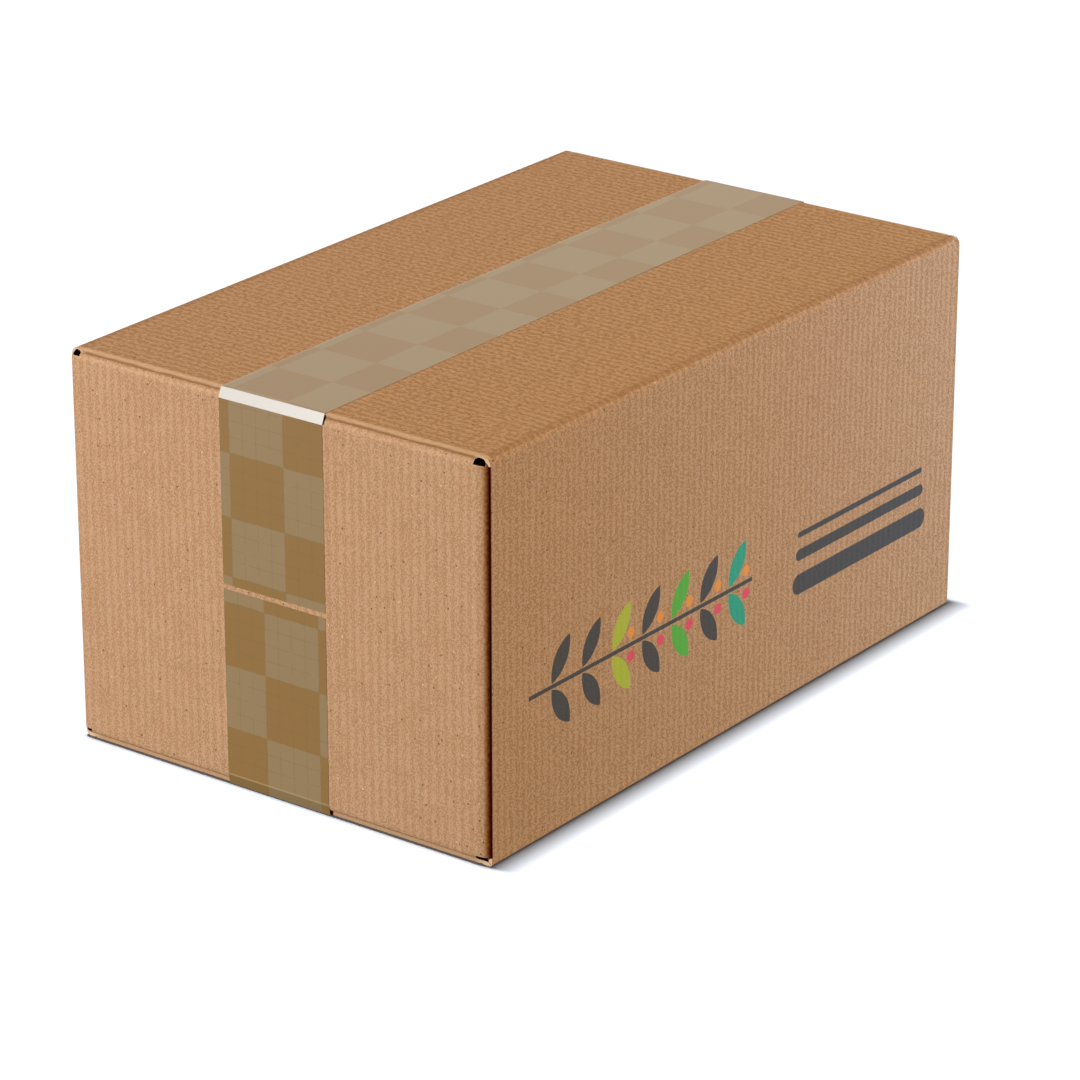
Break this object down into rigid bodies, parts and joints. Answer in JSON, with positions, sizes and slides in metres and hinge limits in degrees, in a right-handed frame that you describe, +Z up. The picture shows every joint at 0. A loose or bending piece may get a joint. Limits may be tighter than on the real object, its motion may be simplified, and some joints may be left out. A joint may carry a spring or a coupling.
{
  "type": "taped corrugated carton",
  "caption": "Shut corrugated kraft carton of a bulk food pack, its folded flaps sealed along the middle by printed packing tape that runs down both ends.",
  "frame": {"origin": "middle of the underside, on the surface the carton stands on", "axes": "+X along the carton's length, +Y across it, +Z up"},
  "size_m": [0.3308, 0.2074, 0.1682],
  "materials": {
    "board": "matt kraft liner over fluting, with faint washboard lines",
    "tape": "tan film with a checker print, soft gloss"
  },
  "bodies": {
    "root": {"carton": "board", "tape_top": "tape", "tape_bottom": "tape"}
  },
  "joints": []
}
